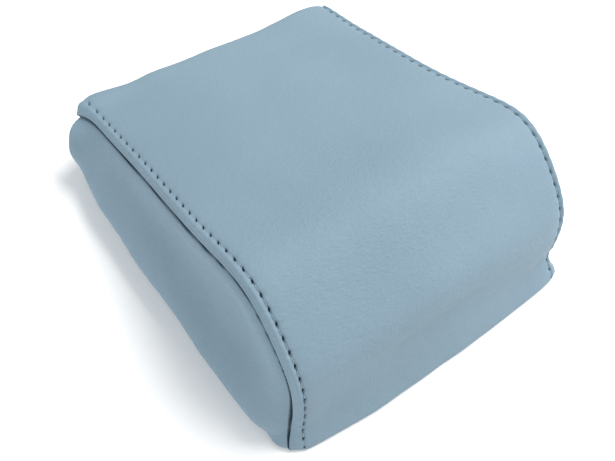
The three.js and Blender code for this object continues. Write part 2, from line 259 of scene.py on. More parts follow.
def sheet_faces(rows, columns):
    """Faces of a closed sheet whose front grid of points is followed by a matching back grid."""
    count = rows * columns
    front = grid_faces(rows, columns)
    back = [f[::-1] for f in grid_faces(rows, columns, start=count)]
    index = np.arange(count).reshape(rows, columns)
    rim = np.r_[index[0, :-1], index[:-1, -1], index[-1, :0:-1], index[:0:-1, 0]]
    after = np.roll(rim, -1)
    return front + back + np.stack([after, rim, rim + count, after + count], -1).tolist()


def sheet(face, back):
    """Points and faces of a closed sheet between two grids."""
    rows, columns = face.shape[:2]
    return np.vstack([face.reshape(-1, 3), back.reshape(-1, 3)]), sheet_faces(rows, columns)


def grid_normals(grid):
    return unit(np.cross(np.gradient(grid, axis=0), np.gradient(grid, axis=1)))


def merged(parts):
    """Points and faces of several meshes as one."""
    points, faces, start = [], [], 0
    for own_points, own_faces in parts:
        points.append(np.asarray(own_points, float))
        faces += [[i + start for i in f] for f in own_faces]
        start += len(own_points)
    return np.vstack(points), faces


def tube(centres, frames, radius, sides, strands=0):
    """Closed tube around a line. frames holds two cross axes for each centre; a thread of several
    strands shows them as a twist."""
    turn = np.linspace(0, 2 * math.pi, sides, endpoint=False)[None, :, None]
    radius = np.broadcast_to(radius, len(centres))[:, None, None]
    if strands:
        twist = np.linspace(0, 1, len(centres))[:, None, None] * len(centres) * 0.55
        radius = radius * (1 + 0.1 * np.cos(strands * turn + twist))
    across, out = frames[0][:, None, :], frames[1][:, None, :]
    points = centres[:, None, :] + radius * (across * np.cos(turn) + out * np.sin(turn))
    faces = grid_faces(len(centres), sides, ring=True)
    last = (len(centres) - 1) * sides
    caps = [list(range(sides))[::-1], list(range(last, last + sides))]
    return points.reshape(-1, 3), faces + caps


def stitch_row(line, outward, pitch, radius, start=0.0, count=None, gap=0.6, dip=1.0, sides=8, steps=14,
               arcs=None):
    """Thread along a line, as one twisted tube for each stitch that dips in at both its ends."""
    arcs = arc_lengths(line) if arcs is None else arcs
    if count is None:
        count = int((arcs[-1] - start) / pitch)
    parts = []
    for k in range(count):
        begin = start + k * pitch
        share = np.linspace(0, 1, steps)
        place = begin + gap / 2 + share * (pitch - gap)
        centres = np.stack([np.interp(place, arcs, c) for c in line.T], -1)
        if place[-1] > arcs[-1]:
            break
        normals = unit(np.stack([np.interp(place, arcs, c) for c in outward.T], -1))
        along = unit(np.gradient(centres, axis=0))
        across = unit(np.cross(along, normals))
        sunk = dip * np.abs(2 * share - 1)[:, None] ** 7
        taper = radius * (1 - 0.35 * np.abs(2 * share - 1) ** 8)
        parts.append(tube(centres - normals * sunk, (across, normals), taper, sides, strands=3))
    return merged(parts)


def rounded_box(low, high, radius, steps=3):
    """Points and faces of a box with rounded edges."""
    low, high = np.array(low, float), np.array(high, float)
    form = bmesh.new()
    bmesh.ops.create_cube(form, size=1)
    for v in form.verts:
        v.co = Vector(low + (np.array(v.co) + 0.5) * (high - low))
    bmesh.ops.bevel(
        form, geom=form.edges[:], offset=radius, segments=steps, profile=0.5, affect="EDGES")
    points = [list(v.co) for v in form.verts]
    faces = [[v.index for v in f.verts] for f in form.faces]
    form.free()
    return points, faces


def plate(outline, low, high, radius, steps=3):
    """Points and faces of a flat outline given thickness, with rounded edges all round."""
    form = bmesh.new()
    face = form.faces.new([form.verts.new((x, y, low)) for x, y in outline])
    raised = bmesh.ops.extrude_face_region(form, geom=[face])["geom"]
    for v in (g for g in raised if isinstance(g, bmesh.types.BMVert)):
        v.co.z = high
    bmesh.ops.recalc_face_normals(form, faces=form.faces[:])
    rim = [e for e in form.edges if abs(e.verts[0].co.z - e.verts[1].co.z) < 1e-6]
    bmesh.ops.bevel(form, geom=rim, offset=radius, segments=steps, profile=0.5, affect="EDGES")
    form.verts.index_update()
    points = [list(v.co) for v in form.verts]
    faces = [[v.index for v in f.verts] for f in form.faces]
    form.free()
    return points, faces


# -------------------------------------------------------------------------------------- materials

class Look:
    """Procedural material, built node by node in object coordinates."""

    def __init__(self, name, colour, roughness, metallic=0.0):
        self.material = bpy.data.materials.new(name)
        self.material.use_nodes = True
        self.tree = self.material.node_tree
        self.surface = self.tree.nodes["Principled BSDF"]
        self.surface.inputs["Base Color"].default_value = (*colour, 1)
        self.surface.inputs["Roughness"].default_value = roughness
        self.surface.inputs["Metallic"].default_value = metallic
        self.material.diffuse_color = (*colour, 1)
        self.place = self.node("TexCoord").outputs["Object"]

    def node(self, kind, inputs=(), **settings):
        made = self.tree.nodes.new("ShaderNode" + kind)
        for key, value in settings.items():
            setattr(made, key, value)
        for key, value in dict(inputs).items():
            if isinstance(value, bpy.types.NodeSocket):
                self.tree.links.new(value, made.inputs[key])
            else:
                made.inputs[key].default_value = value
        return made

    def stretched(self, scale, turn=(0, 0, 0)):
        return self.node("Mapping", {"Vector": self.place, "Scale": scale, "Rotation": turn}).outputs[0]

    def noise(self, scale, detail=3.0, vector=None, roughness=0.5):
        inputs = {"Scale": scale, "Detail": detail, "Roughness": roughness}
        inputs["Vector"] = self.place if vector is None else vector
        return self.node("TexNoise", inputs).outputs["Fac"]

    def cells(self, scale, feature="F1", vector=None):
        inputs = {"Scale": scale, "Vector": self.place if vector is None else vector}
        return self.node("TexVoronoi", inputs, feature=feature).outputs["Distance"]

    def ranged(self, value, low, high, to_low=0.0, to_high=1.0):
        inputs = {0: value, 1: low, 2: high, 3: to_low, 4: to_high}
        return self.node("MapRange", inputs).outputs[0]

    def maths(self, operation, first, second):
        return self.node("Math", {0: first, 1: second}, operation=operation).outputs[0]

    def tones(self, value, dark, light):
        """Base colour that runs between two tones with a value."""
        mix = self.node("Mix", {0: value, 6: (*dark, 1), 7: (*light, 1)}, data_type="RGBA")
        self.tree.links.new(mix.outputs[2], self.surface.inputs["Base Color"])

    def darkened(self, attribute, colour):
        """Painted shade: base colour that runs to a dark one where a mesh attribute is 1."""
        base = self.surface.inputs["Base Color"]
        amount = self.node("Attribute", attribute_name=attribute).outputs["Fac"]
        inputs = {0: amount, 6: base.links[0].from_socket, 7: (*colour, 1)}
        self.tree.links.new(self.node("Mix", inputs, data_type="RGBA").outputs[2], base)

    def relief(self, height, distance, strength=1.0):
        """Bump, with its depth in metres; it adds to any bump set before."""
        made = self.node("Bump", {"Height": height, "Distance": distance, "Strength": strength})
        normal = self.surface.inputs["Normal"]
        if normal.is_linked:
            self.tree.links.new(normal.links[0].from_socket, made.inputs["Normal"])
        self.tree.links.new(made.outputs[0], normal)

    def glossy(self, value):
        self.tree.links.new(value, self.surface.inputs["Roughness"])


def tinted(colour, factor):
    return tuple(c * factor for c in colour)


LEATHER_COLOUR = (0.156, 0.226, 0.279)
# Colour of painted shade, put in needle holes, on thread ends, in the seam gap and under the folded edge
DEEP_SHADE = (0.006, 0.022, 0.036)


def leatherette():
    look = Look("powder_blue_leatherette", LEATHER_COLOUR, 0.45)
    broad = look.noise(11.0, 2.0)
    mottle = look.noise(420.0, 4.0)
    tone = look.maths("ADD", look.ranged(broad, 0.3, 0.7, 0, 0.75), look.ranged(mottle, 0.3, 0.7, 0, 0.25))
    look.tones(tone, tinted(LEATHER_COLOUR, 0.93), tinted(LEATHER_COLOUR, 1.05))
    # Painted shade in needle holes, in the seam gap and under the folded edge, from the mesh attribute
    # shade
    look.darkened("shade", DEEP_SHADE)
    look.glossy(look.ranged(look.noise(160.0, 4.0), 0.3, 0.7, 0.60, 0.72))
    look.surface.inputs["Specular IOR Level"].default_value = 0.17
    look.surface.inputs["Sheen Weight"].default_value = 0.04
    grain = look.cells(760.0, feature="SMOOTH_F1")
    pores = look.noise(2600.0, 3.0)
    look.relief(look.maths("ADD", grain, look.maths("MULTIPLY", pores, 0.5)), 0.0002, 0.8)
    nose = look.node("VectorMath", {0: look.place, 1: (-0.035, -0.072, 0.088)}, operation="SUBTRACT")
    away = look.node("VectorMath", {0: nose.outputs[0]}, operation="LENGTH").outputs["Value"]
    creased = look.ranged(away, 0.03, 0.12, 1.0, 0.15)
    creases = look.noise(1.0, 3.0, look.stretched((330, 820, 820), (0, 0, math.radians(-14))), 0.6)
    look.relief(look.maths("MULTIPLY", creases, creased), 0.0008, 0.7)
    look.relief(look.noise(60.0, 2.0), 0.0012, 0.25)
    return look.material


def thread(name, colour):
    look = Look(name, colour, 0.55)
    look.surface.inputs["Sheen Weight"].default_value = 0.2
    look.tones(look.noise(3000.0), tinted(colour, 0.85), tinted(colour, 1.1))
    # Painted shade on the thread's ends, where they go into their holes
    look.darkened("shade", DEEP_SHADE)
    look.relief(look.noise(6000.0, 2.0), 0.00004, 0.6)
    return look.material


def foam(name, colour, cell):
    look = Look(name, colour, 0.95)
    look.surface.inputs["Specular IOR Level"].default_value = 0.15
    pores = look.cells(cell)
    look.tones(look.ranged(pores, 0.1, 0.7), tinted(colour, 0.72), colour)
    look.relief(pores, 0.0005, 0.8)
    look.relief(look.noise(cell / 6), 0.0012, 0.4)
    return look.material


def fleece(name, colour):
    look = Look(name, colour, 1.0)
    look.surface.inputs["Sheen Weight"].default_value = 0.4
    fibres = look.noise(1.0, 6.0, look.stretched((500, 1400, 1400)), 0.7)
    look.tones(fibres, tinted(colour, 0.85), colour)
    look.relief(fibres, 0.0008, 0.7)
    return look.material


def weave(name, colour, pitch):
    look = Look(name, colour, 0.85)
    look.surface.inputs["Sheen Weight"].default_value = 0.25
    waves = []
    for direction in ("X", "Y"):
        settings = {"wave_type": "BANDS", "bands_direction": direction}
        inputs = {"Vector": look.place, "Scale": 0.314 / pitch, "Distortion": 0.4}
        waves.append(look.node("TexWave", inputs, **settings).outputs["Fac"])
    crossed = look.maths("MULTIPLY", waves[0], waves[1])
    look.tones(crossed, tinted(colour, 0.7), tinted(colour, 1.1))
    look.relief(crossed, 0.00025, 0.8)
    return look.material


def plastic(name, colour, roughness):
    look = Look(name, colour, roughness)
    look.glossy(look.ranged(look.noise(900.0), 0.3, 0.7, roughness - 0.08, roughness + 0.1))
    look.tones(look.noise(300.0), tinted(colour, 0.92), tinted(colour, 1.06))
    look.relief(look.noise(4000.0), 0.00003, 0.4)
    return look.material


def nickel():
    look = Look("nickel_plate", (0.62, 0.61, 0.59), 0.28, 1.0)
    scratches = look.noise(1.0, 4.0, look.stretched((300, 3000, 3000)), 0.6)
    look.glossy(look.ranged(scratches, 0.3, 0.7, 0.22, 0.38))
    look.tones(look.noise(150.0), (0.56, 0.55, 0.53), (0.67, 0.66, 0.64))
    look.relief(scratches, 0.00003, 0.3)
    return look.material


LEATHER = leatherette()
THREAD = thread("tonal_topstitch_thread", (0.17, 0.245, 0.30))
SEAM_THREAD = thread("seam_thread", (0.17, 0.25, 0.31))
SOFT_FOAM = foam("cream_soft_foam", (0.86, 0.76, 0.52), 1400.0)
FIRM_FOAM = foam("grey_firm_foam", (0.62, 0.63, 0.66), 1900.0)
BASE_FOAM = foam("charcoal_base_foam", (0.24, 0.26, 0.29), 1700.0)
WADDING = fleece("white_wadding", (0.87, 0.86, 0.82))
TAPE = weave("zip_tape_weave", (0.20, 0.29, 0.37), 0.0006)
HOOK_BASE = weave("hook_tape_weave", (0.085, 0.12, 0.16), 0.0007)
HOOK = plastic("hook_nylon", (0.11, 0.15, 0.19), 0.4)
COIL = plastic("coil_nylon", (0.19, 0.28, 0.36), 0.32)
NICKEL = nickel()


# ------------------------------------------------------------------------------------------ cover

FLAT_COLUMNS = [*np.arange(0, 81, 8), 84, 87, 89, 90.4]
SEAM_COLUMNS = [*np.arange(-2.4, 2.05, 0.3), 2.5, 3.0, 3.5, 4.0, 4.4, 4.75, 5.1, 5.45, 5.8, 6.1, 6.4]
FOLD_ANGLES = np.radians([30, 60, 90, 120, 150, 180])
FLANGE = 3.0
LINING_COLUMNS = [94.8, 92, 89.5, 86, 75, 50, 25, 0]


def section(l, s, height):
    """Place across (x) and under the outline (depth) of points on the cover's rolled section."""
    radius = roll_radius(s)
    angle = np.maximum(l - ROLL_START, 0) / radius
    x = np.minimum(l, ROLL_START) + radius * np.sin(angle) + height * np.sin(angle)
    depth = radius * (1 - np.cos(angle)) - height * np.cos(angle)
    return x, depth, angle


def in_space(x, depth, rows=slice(None)):
    """Points of grids of places across and depths, one row for each point of the outline."""
    yz = path[rows, None, :] + depth[..., None] * path_normals[rows, None, :]
    return np.concatenate([np.broadcast_to(x, depth.shape)[..., None], yz], -1)


def needle_hole(s, a):
    """1 in the middle of a needle hole, falling to 0 at its rim; the holes are long and slanted."""
    from_stitch = (s - FIRST_STITCH + STITCH_PITCH / 2) % STITCH_PITCH - STITCH_PITCH / 2
    stitched = smoothstep(0, 6, np.minimum(s, cover_length - s))
    return bump(from_stitch, 1.2) * bump(a - 0.35 * from_stitch, 0.6) * stitched


def paint_shade(made, values):
    """Stores painted shade at each point: needle holes, seam gaps, the fold's underside, the lining and
    thread ends.
    """
    layer = made.data.attributes.new("shade", "FLOAT", "POINT")
    layer.data.foreach_set("value", np.ascontiguousarray(values, dtype=np.float32).ravel())


def seam_relief(s, a, side):
    """Height of the stitched shoulder, where a is the distance outward from the topstitch."""
    from_stitch = (s - FIRST_STITCH + STITCH_PITCH / 2) % STITCH_PITCH - STITCH_PITCH / 2
    number = np.clip(((s - FIRST_STITCH) / STITCH_PITCH).round().astype(int), 0, STITCH_COUNT - 1)
    pull = rng.uniform(0.75, 1.25, STITCH_COUNT)[number]
    stitched = smoothstep(0, 6, np.minimum(s, cover_length - s))
    hole = -1.3 * needle_hole(s, a)
    reach = np.where(a < 0, 2.0, 2.8)
    pucker = -0.34 * pull * bump(from_stitch, 1.7) * np.exp(-np.abs(a) / reach)
    between = 0.14 * (1 - np.cos(2 * math.pi * from_stitch / STITCH_PITCH)) * bump(a - 0.4, 1.8)
    line = -0.5 * np.where(a < 0, bump(a, 2.0), bump(a, 1.0))
    laid = -0.38 * bump(a, 0.5) * thread_shows(s)
    inboard = 1.25 * (1 - np.exp(np.minimum(a, 0) / 8))
    strip = (0.75 + (0.5 if side > 0 else 0.0)) * np.sin(math.pi * np.clip((a - 0.3) / 4.6, 0, 1)) ** 2
    groove = -0.12 * bump(a - 4.9, 0.8)
    gathers = ripples(s, 0 * a, 5, 2.2, 0.06) * bump(a + 4, 5) * smoothstep(215, 250, s)
    flat = smoothstep(cover_length - 70, cover_length - 25, s)
    return inboard + gathers + stitched * (
        hole + pucker + between + laid + line * (1 - 0.4 * flat) + (strip + groove) * (1 - 0.6 * flat))


def thread_shows(s):
    """1 where the thread lies on the leather, at the nose, and 0 where it is pulled under."""
    return smoothstep(185, 260, s)


def soft_relief(s, x):
    """Gentle unevenness of the stretched cover, and its waves along the edges."""
    middle = 1 - smoothstep(70, 92, np.abs(x))
    broad = ripples(s, x, 120, 45, 0.22) * (0.35 + 0.65 * middle)
    rear_edge = ripples(x, 0 * s, 48, 20, 0.28) * bump(s - REAR_CORNER_S, 12)
    front_foot = ripples(x, 0 * s, 70, 26, 0.5) * smoothstep(cover_length - 30, cover_length - 4, s)
    crease = -0.7 * bump(s - (cover_length - 24), 6) * smoothstep(40, 100, x)
    left_ear = 3.0 * smoothstep(58, 92, -x) - 2.4 * smoothstep(92.5, 99.5, -x)
    right_ear = 0.9 * bump(x - 74, 12) - 2.4 * smoothstep(82, 98, x)
    dip = -1.3 * bump(x - 36, 34)
    corner = (left_ear + right_ear + dip) * bump(s - REAR_CORNER_S, 12)
    shoulder = 1.3 * bump(s - 138, 38) * smoothstep(55, 98, x)
    return broad + rear_edge + front_foot + crease + corner + shoulder


def cover_half(side, settle):
    """Points of half of the cover's loop: over the top from its middle, round the fold, and back."""
    s = path_s[:, None]
    drift = seam_drift(s)
    l = np.r_[FLAT_COLUMNS, STITCH_L + np.array(SEAM_COLUMNS)][None, :]
    share = smoothstep(0, STITCH_L, l)
    height = seam_relief(s, l - STITCH_L, side) + soft_relief(s, side * l)
    foot = smoothstep(-4, 3, np.minimum(s - path_s[0] - 8, path_s[-1] - 8 - s))
    x, depth, angle = section(l, s, height * foot)
    x = x + drift * share + ear_spread(s, side) * smoothstep(STITCH_L, STITCH_L + MARGIN, l)
    fold = FOLD_ANGLES[None, :]
    edge_angle = angle[:, -1:]
    inward = FOLD_RADIUS * (1 - np.cos(fold))
    onward = FOLD_RADIUS * np.sin(fold)
    fold_x = x[:, -1:] - np.sin(edge_angle) * inward + np.cos(edge_angle) * onward
    fold_depth = depth[:, -1:] + np.cos(edge_angle) * inward + np.sin(edge_angle) * onward
    flange_x = fold_x[:, -1:] - FLANGE * np.cos(edge_angle)
    flange_depth = fold_depth[:, -1:] - FLANGE * np.sin(edge_angle)
    lining = np.array(LINING_COLUMNS, float)[None, :]
    allowance = -SKIN - 2.3 * smoothstep(89, 91.5, lining) * foot
    lining_x, lining_depth, _ = section(lining, s, allowance)
    lining_x = lining_x + drift * smoothstep(0, STITCH_L, lining)
    x = np.concatenate([x, fold_x, flange_x, lining_x], 1)
    depth = np.concatenate([depth, fold_depth, flange_depth, lining_depth], 1)
    half = in_space(x, depth - fullness(s, side * np.minimum(x, STITCH_L)))
    half[..., 0] *= side
    half[..., 1] += foot_inset(s, half[..., 0])
    return settle(half)


def hole_shade(side):
    """Painted shade for half of the cover, 0 to 1: darker deeper in a needle hole, and full under the fold,
    on the flange and lining.
    """
    s = path_s[:, None]
    columns = len(FLAT_COLUMNS) + len(SEAM_COLUMNS)
    a = np.r_[FLAT_COLUMNS, STITCH_L + np.array(SEAM_COLUMNS)][None, :] - STITCH_L
    shade = np.zeros((len(path_s), columns + len(FOLD_ANGLES) + 1 + len(LINING_COLUMNS)))
    shade[:, :columns] = smoothstep(0.12, 0.6, needle_hole(s, a)) * (0.45 + 0.55 * smoothstep(60, 150, s))
    # painted shade over the fold's inner half, the flange and the lining
    shade[:, columns + 2:] = 1
    return shade


def top_wrap(settle):
    right = cover_half(1, settle)
    left = cover_half(-1, settle)
    middle = (right[:, :1] + left[:, :1]) / 2
    lining = (right[:, -1:] + left[:, -1:]) / 2
    loop = np.concatenate([middle, right[:, 1:-1], lining, left[:, -2:0:-1]], 1)
    rows, columns = loop.shape[:2]
    last = (rows - 1) * columns
    caps = [list(range(columns))[::-1], list(range(last, last + columns))]
    made = piece(
        "cover_top_wrap", loop, grid_faces(rows, columns, ring=True) + caps, LEATHER)
    # Painted shade in the needle holes and under the folded edge
    shade = hole_shade(1)
    paint_shade(made, np.concatenate([shade, shade[:, -2:0:-1]], 1))
    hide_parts("top_wrap_panel")
    return right, left


def topstitch(half, side, name, node):
    """Thread in the stitch line, lying on the finished cover between its holes."""
    column = len(FLAT_COLUMNS) + SEAM_COLUMNS.index(min(SEAM_COLUMNS, key=abs))
    line = half[:, column]
    outward = grid_normals(half[:, column - 3:column + 4])[:, 3] * side
    smooth = np.stack([np.convolve(np.pad(c, 6, "edge"), np.ones(13) / 13, "valid") for c in line.T], -1)
    inside = (path_s > FIRST_STITCH - 1) & (path_s < cover_length - 2)
    smooth, outward = smooth[inside], outward[inside]
    steady = np.stack([np.convolve(np.pad(c, 8, "edge"), np.ones(17) / 17, "valid") for c in outward.T], -1)
    lift = -0.45 + 1.2 * thread_shows(path_s[inside])[:, None]
    SIDES, STEPS = 10, 26
    points, faces = stitch_row(
        smooth + lift * unit(steady), unit(steady), STITCH_PITCH, 0.29, start=FIRST_STITCH,
        count=STITCH_COUNT - 1, gap=2.9, dip=1.2, sides=SIDES, steps=STEPS, arcs=path_s[inside])
    made = piece(name, points, faces, THREAD)
    # Painted shade on each stitch's ends, where the thread dips into its hole
    thread_end_shade = smoothstep(0.6, 0.85, np.abs(np.linspace(-1, 1, STEPS)))
    paint_shade(made, np.tile(np.repeat(thread_end_shade, SIDES), len(points) // (SIDES * STEPS)))
    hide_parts(node)


# ------------------------------------------------------------------------------------ side panels

def nearest_on_path(y, z):
    """Depth under the outline, and the place along it, for side-view points."""
    along = unit(np.gradient(outline, axis=0))
    depth, place = np.empty(y.shape), np.empty(y.shape)
    for row in range(y.shape[0]):
        gaps = np.stack([y[row][:, None] - outline[:, 0], z[row][:, None] - outline[:, 1]], -1)
        nearest = (gaps ** 2).sum(-1).argmin(1)
        gap = gaps[np.arange(len(nearest)), nearest]
        onward = (gap * along[nearest]).sum(-1)
        place[row] = outline_s[nearest] + np.clip(onward, -ROW_STEP, ROW_STEP)
        depth[row] = np.sqrt(np.maximum((gap ** 2).sum(-1) - onward ** 2, 0))
    return depth, place


def side_x(y, z, side, uneven=0):
    """Outer half width of a side panel: tucked under the fold, a padded shoulder and a belly. Also gives
    depth, place along the cover and the painted shade in the gap under the fold.
    """
    near_foot = fold_inset(cover_length - 1.5 * np.maximum(z, 0), side)
    depth, s = nearest_on_path(y - near_foot * smoothstep(-90, -118, y), z)
    radius = roll_radius(s)
    angle = (STITCH_L + MARGIN - ROLL_START) / radius
    rim_depth = radius * (1 - np.cos(angle)) + FOLD_RADIUS * (1 + np.cos(angle))
    rim_x = ROLL_START + radius * np.sin(angle) - FOLD_RADIUS * np.sin(angle)
    e = depth - rim_depth + fullness(s, side * STITCH_L)
    inner = np.maximum(e, 0)
    nose = smoothstep(70, 290, s)
    lip = 1.3 + 0.7 * smoothstep(60, 120, s) - 1.2 * smoothstep(190, 270, s)
    drop = 2.6 - 2.3 * smoothstep(150, 265, s) - 1.9 * bump(s - REAR_CORNER_S, 16)
    risen = smoothstep(0.55 * lip, lip, e)
    tuck = 2.6 - 0.3 * np.minimum(e, 0) - (2.6 - drop) * smoothstep(0, 0.5, e) - (drop + 0.5) * risen
    pad = (3.2 + 1.6 * nose) * (1 - np.exp(-np.maximum(e - 0.5 * lip, 0) / 4)) * bump(inner, 16)
    pad = pad * smoothstep(8, 40, z)
    place = (HALF_LENGTH - y) / (2 * HALF_LENGTH) * (len(BELLY) - 1)
    belly = np.interp(place, np.arange(len(BELLY)), BELLY)
    rise = BELLY_RISE - 2.6 * smoothstep(-92, -122, y) * (side < 0)
    swell = belly * bump(z - BELLY_Z, BELLY_SPREAD) * (1 - np.exp(-inner / rise))
    beyond = np.maximum(e - 0.6 * lip, 0)
    roll = 13 * bump(y - 117, 11) * bump(z - 34, 18) * (1 - np.exp(-beyond / 4.5))
    roll = roll + 2.5 * bump(y - 118, 9) * bump(z - 47, 10) * (1 - np.exp(-beyond / 2.5))
    roll = roll * (1.0 if side < 0 else 0.35)
    drift = seam_drift(s) * np.exp(-inner / 30) + ear_spread(s, side) * np.exp(-inner / 12)
    waves = uneven * (1 - np.exp(-inner / 5))
    # Painted shade where the panel runs into the gap under the folded edge, faded out towards the thin end
    gap = (1 - smoothstep(0.85, 1.1, e / lip)) * smoothstep(42, 85, s)
    return rim_x + drift - tuck + pad + swell + roll + waves, inner, s, gap


SIDE_ROWS = 76


def side_grid(inset, side, rows=SIDE_ROWS, step=2, foot=SIDE_FOOT):
    """Side-view grid of a panel, from an inset of the outline down to its foot."""
    upper = path + (inset - fullness(path_s, side * STITCH_L)[:, None]) * path_normals
    upper[:, 0] += fold_inset(path_s, side)
    upper = upper[::step]
    high = upper[:, 1] > foot + 0.4
    kept = slice(np.argmax(high), len(high) - np.argmax(high[::-1]))
    upper = upper[kept]
    lowest_y = np.pad(np.minimum.accumulate(upper[:, 0]), 3, "edge")
    lower = np.c_[np.convolve(lowest_y, np.ones(7) / 7, "valid"), np.full(len(upper), foot)]
    share = np.linspace(0, 1, rows)[:, None] ** 1.5
    y = upper[:, 0] + share * (lower[:, 0] - upper[:, 0])
    z = upper[:, 1] + share * (lower[:, 1] - upper[:, 1])
    return y, z


def side_panel(side, settle, name, node):
    y, z = side_grid(3.2, side)
    uneven = ripples(y, z, 70, 28, 0.3) + ripples(y, z, 22, 9, 0.07)
    x, inner, s, gap = side_x(y, z, side, uneven)
    x += ripples(s, inner * 0.25, 5, 2.4, 0.09) * bump(inner - 6, 5) * smoothstep(200, 240, s)
    face = np.stack([side * x, y, z], -1)
    angles = np.radians(np.arange(15, 151, 15))
    radius = CURL_RADIUS * 0.9
    curl = []
    for angle in angles:
        row = face[-1].copy()
        row[:, 0] -= side * radius * (1 - math.cos(angle))
        row[:, 2] -= radius * math.sin(angle)
        curl.append(row)
    for run in (1.0, 2.2):
        row = curl[len(angles) - 1].copy()
        row[:, 0] -= side * run * 0.5
        row[:, 2] += run * 0.86
        curl.append(row)
    face = settle(np.concatenate([face, np.array(curl)]))
    back = face - SKIN * side_outward(face, side)
    points, faces = sheet(face, back)
    made = piece(name, points, faces, LEATHER)
    # Painted shade in the gap under the folded edge, on the panel's face and back; none on its curl
    shade = np.concatenate([gap, np.zeros((len(curl), gap.shape[1]))])
    paint_shade(made, np.concatenate([shade, shade]))
    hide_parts(node)


def side_outward(face, side):
    """Normals of a side panel's grid, flipped where need be so that they point outward."""
    normals = grid_normals(face)
    if (normals[10:40, ..., 0].mean() > 0) != (side > 0):
        normals = -normals
    return normals


def seam_thread(side, name):
    """Construction stitches that show in the gap beside the folded edge, at the nose end."""
    rows = slice(*np.searchsorted(path_s, (236, cover_length - 8)))
    s = path_s[rows, None]
    x, depth, angle = section(STITCH_L + MARGIN + 0 * s, s, 0 * s)
    x = x + seam_drift(s) - 2 * FOLD_RADIUS * np.sin(angle) + 0.2
    depth = depth + 2 * FOLD_RADIUS * np.cos(angle) + 0.9
    line = in_space(x, depth, rows)[:, 0]
    line[:, 0] *= side
    line[:, 1] += foot_inset(s[:, 0], line[:, 0])
    outward = np.tile([float(side), 0, 0], (len(line), 1))
    points, faces = stitch_row(line, outward, 3.2, 0.24, gap=1.0, dip=0.7, sides=6, steps=8)
    piece(name, points, faces, SEAM_THREAD)


# ------------------------------------------------------------------------------ stuffing pressure

PRESSURE = 4.0
SWELL_CAP = 6.0
SWELL_SHARE = 0.16              # the lines above already have the fullness of the stuffed cover
PINNED = 5.0                    # the cover is held this near to a seam


def settled_cover():
    """Cloth simulation of the stuffed cover: a coarse closed copy blown up between its seams.
    Gives a function that moves points as the nearest parts of the copy moved."""
    y, z = side_grid(1.5, 1, rows=24, step=8, foot=4.0)
    x = side_x(y, z, 1)[0]
    halves = [np.stack([side * (x - 1.5), y, z], -1) for side in (1, -1)]
    points, faces = sheet(*halves)
    mesh = bpy.data.meshes.new("bladder")
    mesh.from_pydata((points * MM).tolist(), [], faces)
    bladder = bpy.data.objects.new("bladder", mesh)
    bpy.context.scene.collection.objects.link(bladder)
    remesh = bladder.modifiers.new("Remesh", "REMESH")
    remesh.mode = "VOXEL"
    remesh.voxel_size = 0.005
    depsgraph = bpy.context.evaluated_depsgraph_get()
    bladder.data = bpy.data.meshes.new_from_object(bladder.evaluated_get(depsgraph))
    bladder.modifiers.clear()
    rest = coordinates(bladder.data)
    seams = KDTree(2 * len(path))
    for k, (side, point) in enumerate((side, p) for side in (-1, 1) for p in path):
        seams.insert((side * (STITCH_L + 3) * MM, point[0] * MM, point[1] * MM), k)
    seams.balance()
    held = [i for i, co in enumerate(rest)
            if co[2] < 9 * MM or seams.find(co)[2] < PINNED * MM]
    bladder.vertex_groups.new(name="held").add(held, 1.0, "REPLACE")
    cloth = bladder.modifiers.new("Cloth", "CLOTH")
    cloth.settings.vertex_group_mass = "held"
    cloth.settings.use_pressure = True
    cloth.settings.uniform_pressure_force = PRESSURE
    cloth.settings.effector_weights.gravity = 0
    cloth.settings.quality = 6
    cloth.settings.shrink_min = -0.02
    for number in range(1, 21):
        bpy.context.scene.frame_set(number)
    depsgraph = bpy.context.evaluated_depsgraph_get()
    swollen = coordinates(bladder.evaluated_get(depsgraph).to_mesh())
    bpy.context.scene.frame_set(1)
    moved = (swollen - rest) / MM
    size = np.linalg.norm(moved, axis=1, keepdims=True)
    moved *= SWELL_SHARE * np.minimum(1, SWELL_CAP / np.maximum(size, 1e-9))
    ends = np.array([e.vertices[:] for e in bladder.data.edges])
    for _ in range(8):
        total, links = moved.copy(), np.ones((len(moved), 1))
        for here, there in (ends.T, ends.T[::-1]):
            np.add.at(total, here, moved[there])
            np.add.at(links, here, 1)
        moved = total / links
    print("cloth: largest move %.2f mm, mean %.2f mm" % (size.max(), size.mean()))
    bpy.data.objects.remove(bladder)
    tree = KDTree(len(rest))
    for i, co in enumerate(rest):
        tree.insert(co, i)
    tree.balance()

    def settle(grid):
        shifts = np.empty((grid.size // 3, 3))
        for i, point in enumerate(grid.reshape(-1, 3) * MM):
            near = tree.find_n(point, 12)
            weights = np.array([math.exp(-(found[2] / 0.008) ** 2) + 1e-9 for found in near])
            shifts[i] = weights @ moved[[found[1] for found in near]] / weights.sum()
        return grid + shifts.reshape(grid.shape)

    return settle


def coordinates(mesh):
    flat = np.empty(len(mesh.vertices) * 3)
    mesh.vertices.foreach_get("co", flat)
    return flat.reshape(-1, 3)


# ------------------------------------------------------------------------------------------ foams

def foam_block(name, node, material, voxel=3.5):
    """Cut foam in place of a CAD solid: the same body with softened edges and an uneven cut face."""
    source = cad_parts[node]
    made = bpy.data.objects.new(name, source.data.copy())
    bpy.context.scene.collection.objects.link(made)
    remesh = made.modifiers.new("Remesh", "REMESH")
    remesh.mode = "VOXEL"
    remesh.voxel_size = voxel * MM
    soften = made.modifiers.new("Soften", "SMOOTH")
    soften.factor = 0.5
    soften.iterations = 3
    depsgraph = bpy.context.evaluated_depsgraph_get()
    mesh = bpy.data.meshes.new_from_object(made.evaluated_get(depsgraph))
    made.modifiers.clear()
    made.data = mesh
    co = coordinates(mesh)
    normals = np.array([v.normal[:] for v in mesh.vertices])
    uneven = ripples(co[:, 0] / MM, co[:, 1] / MM + co[:, 2] / MM, 40, 9, 0.12)
    co += (uneven - 0.15)[:, None] * normals * MM
    mesh.vertices.foreach_set("co", co.ravel())
    mesh.materials.clear()
    mesh.materials.append(material)
    mesh.shade_smooth()
    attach(made, "cushion")
    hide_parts(node)


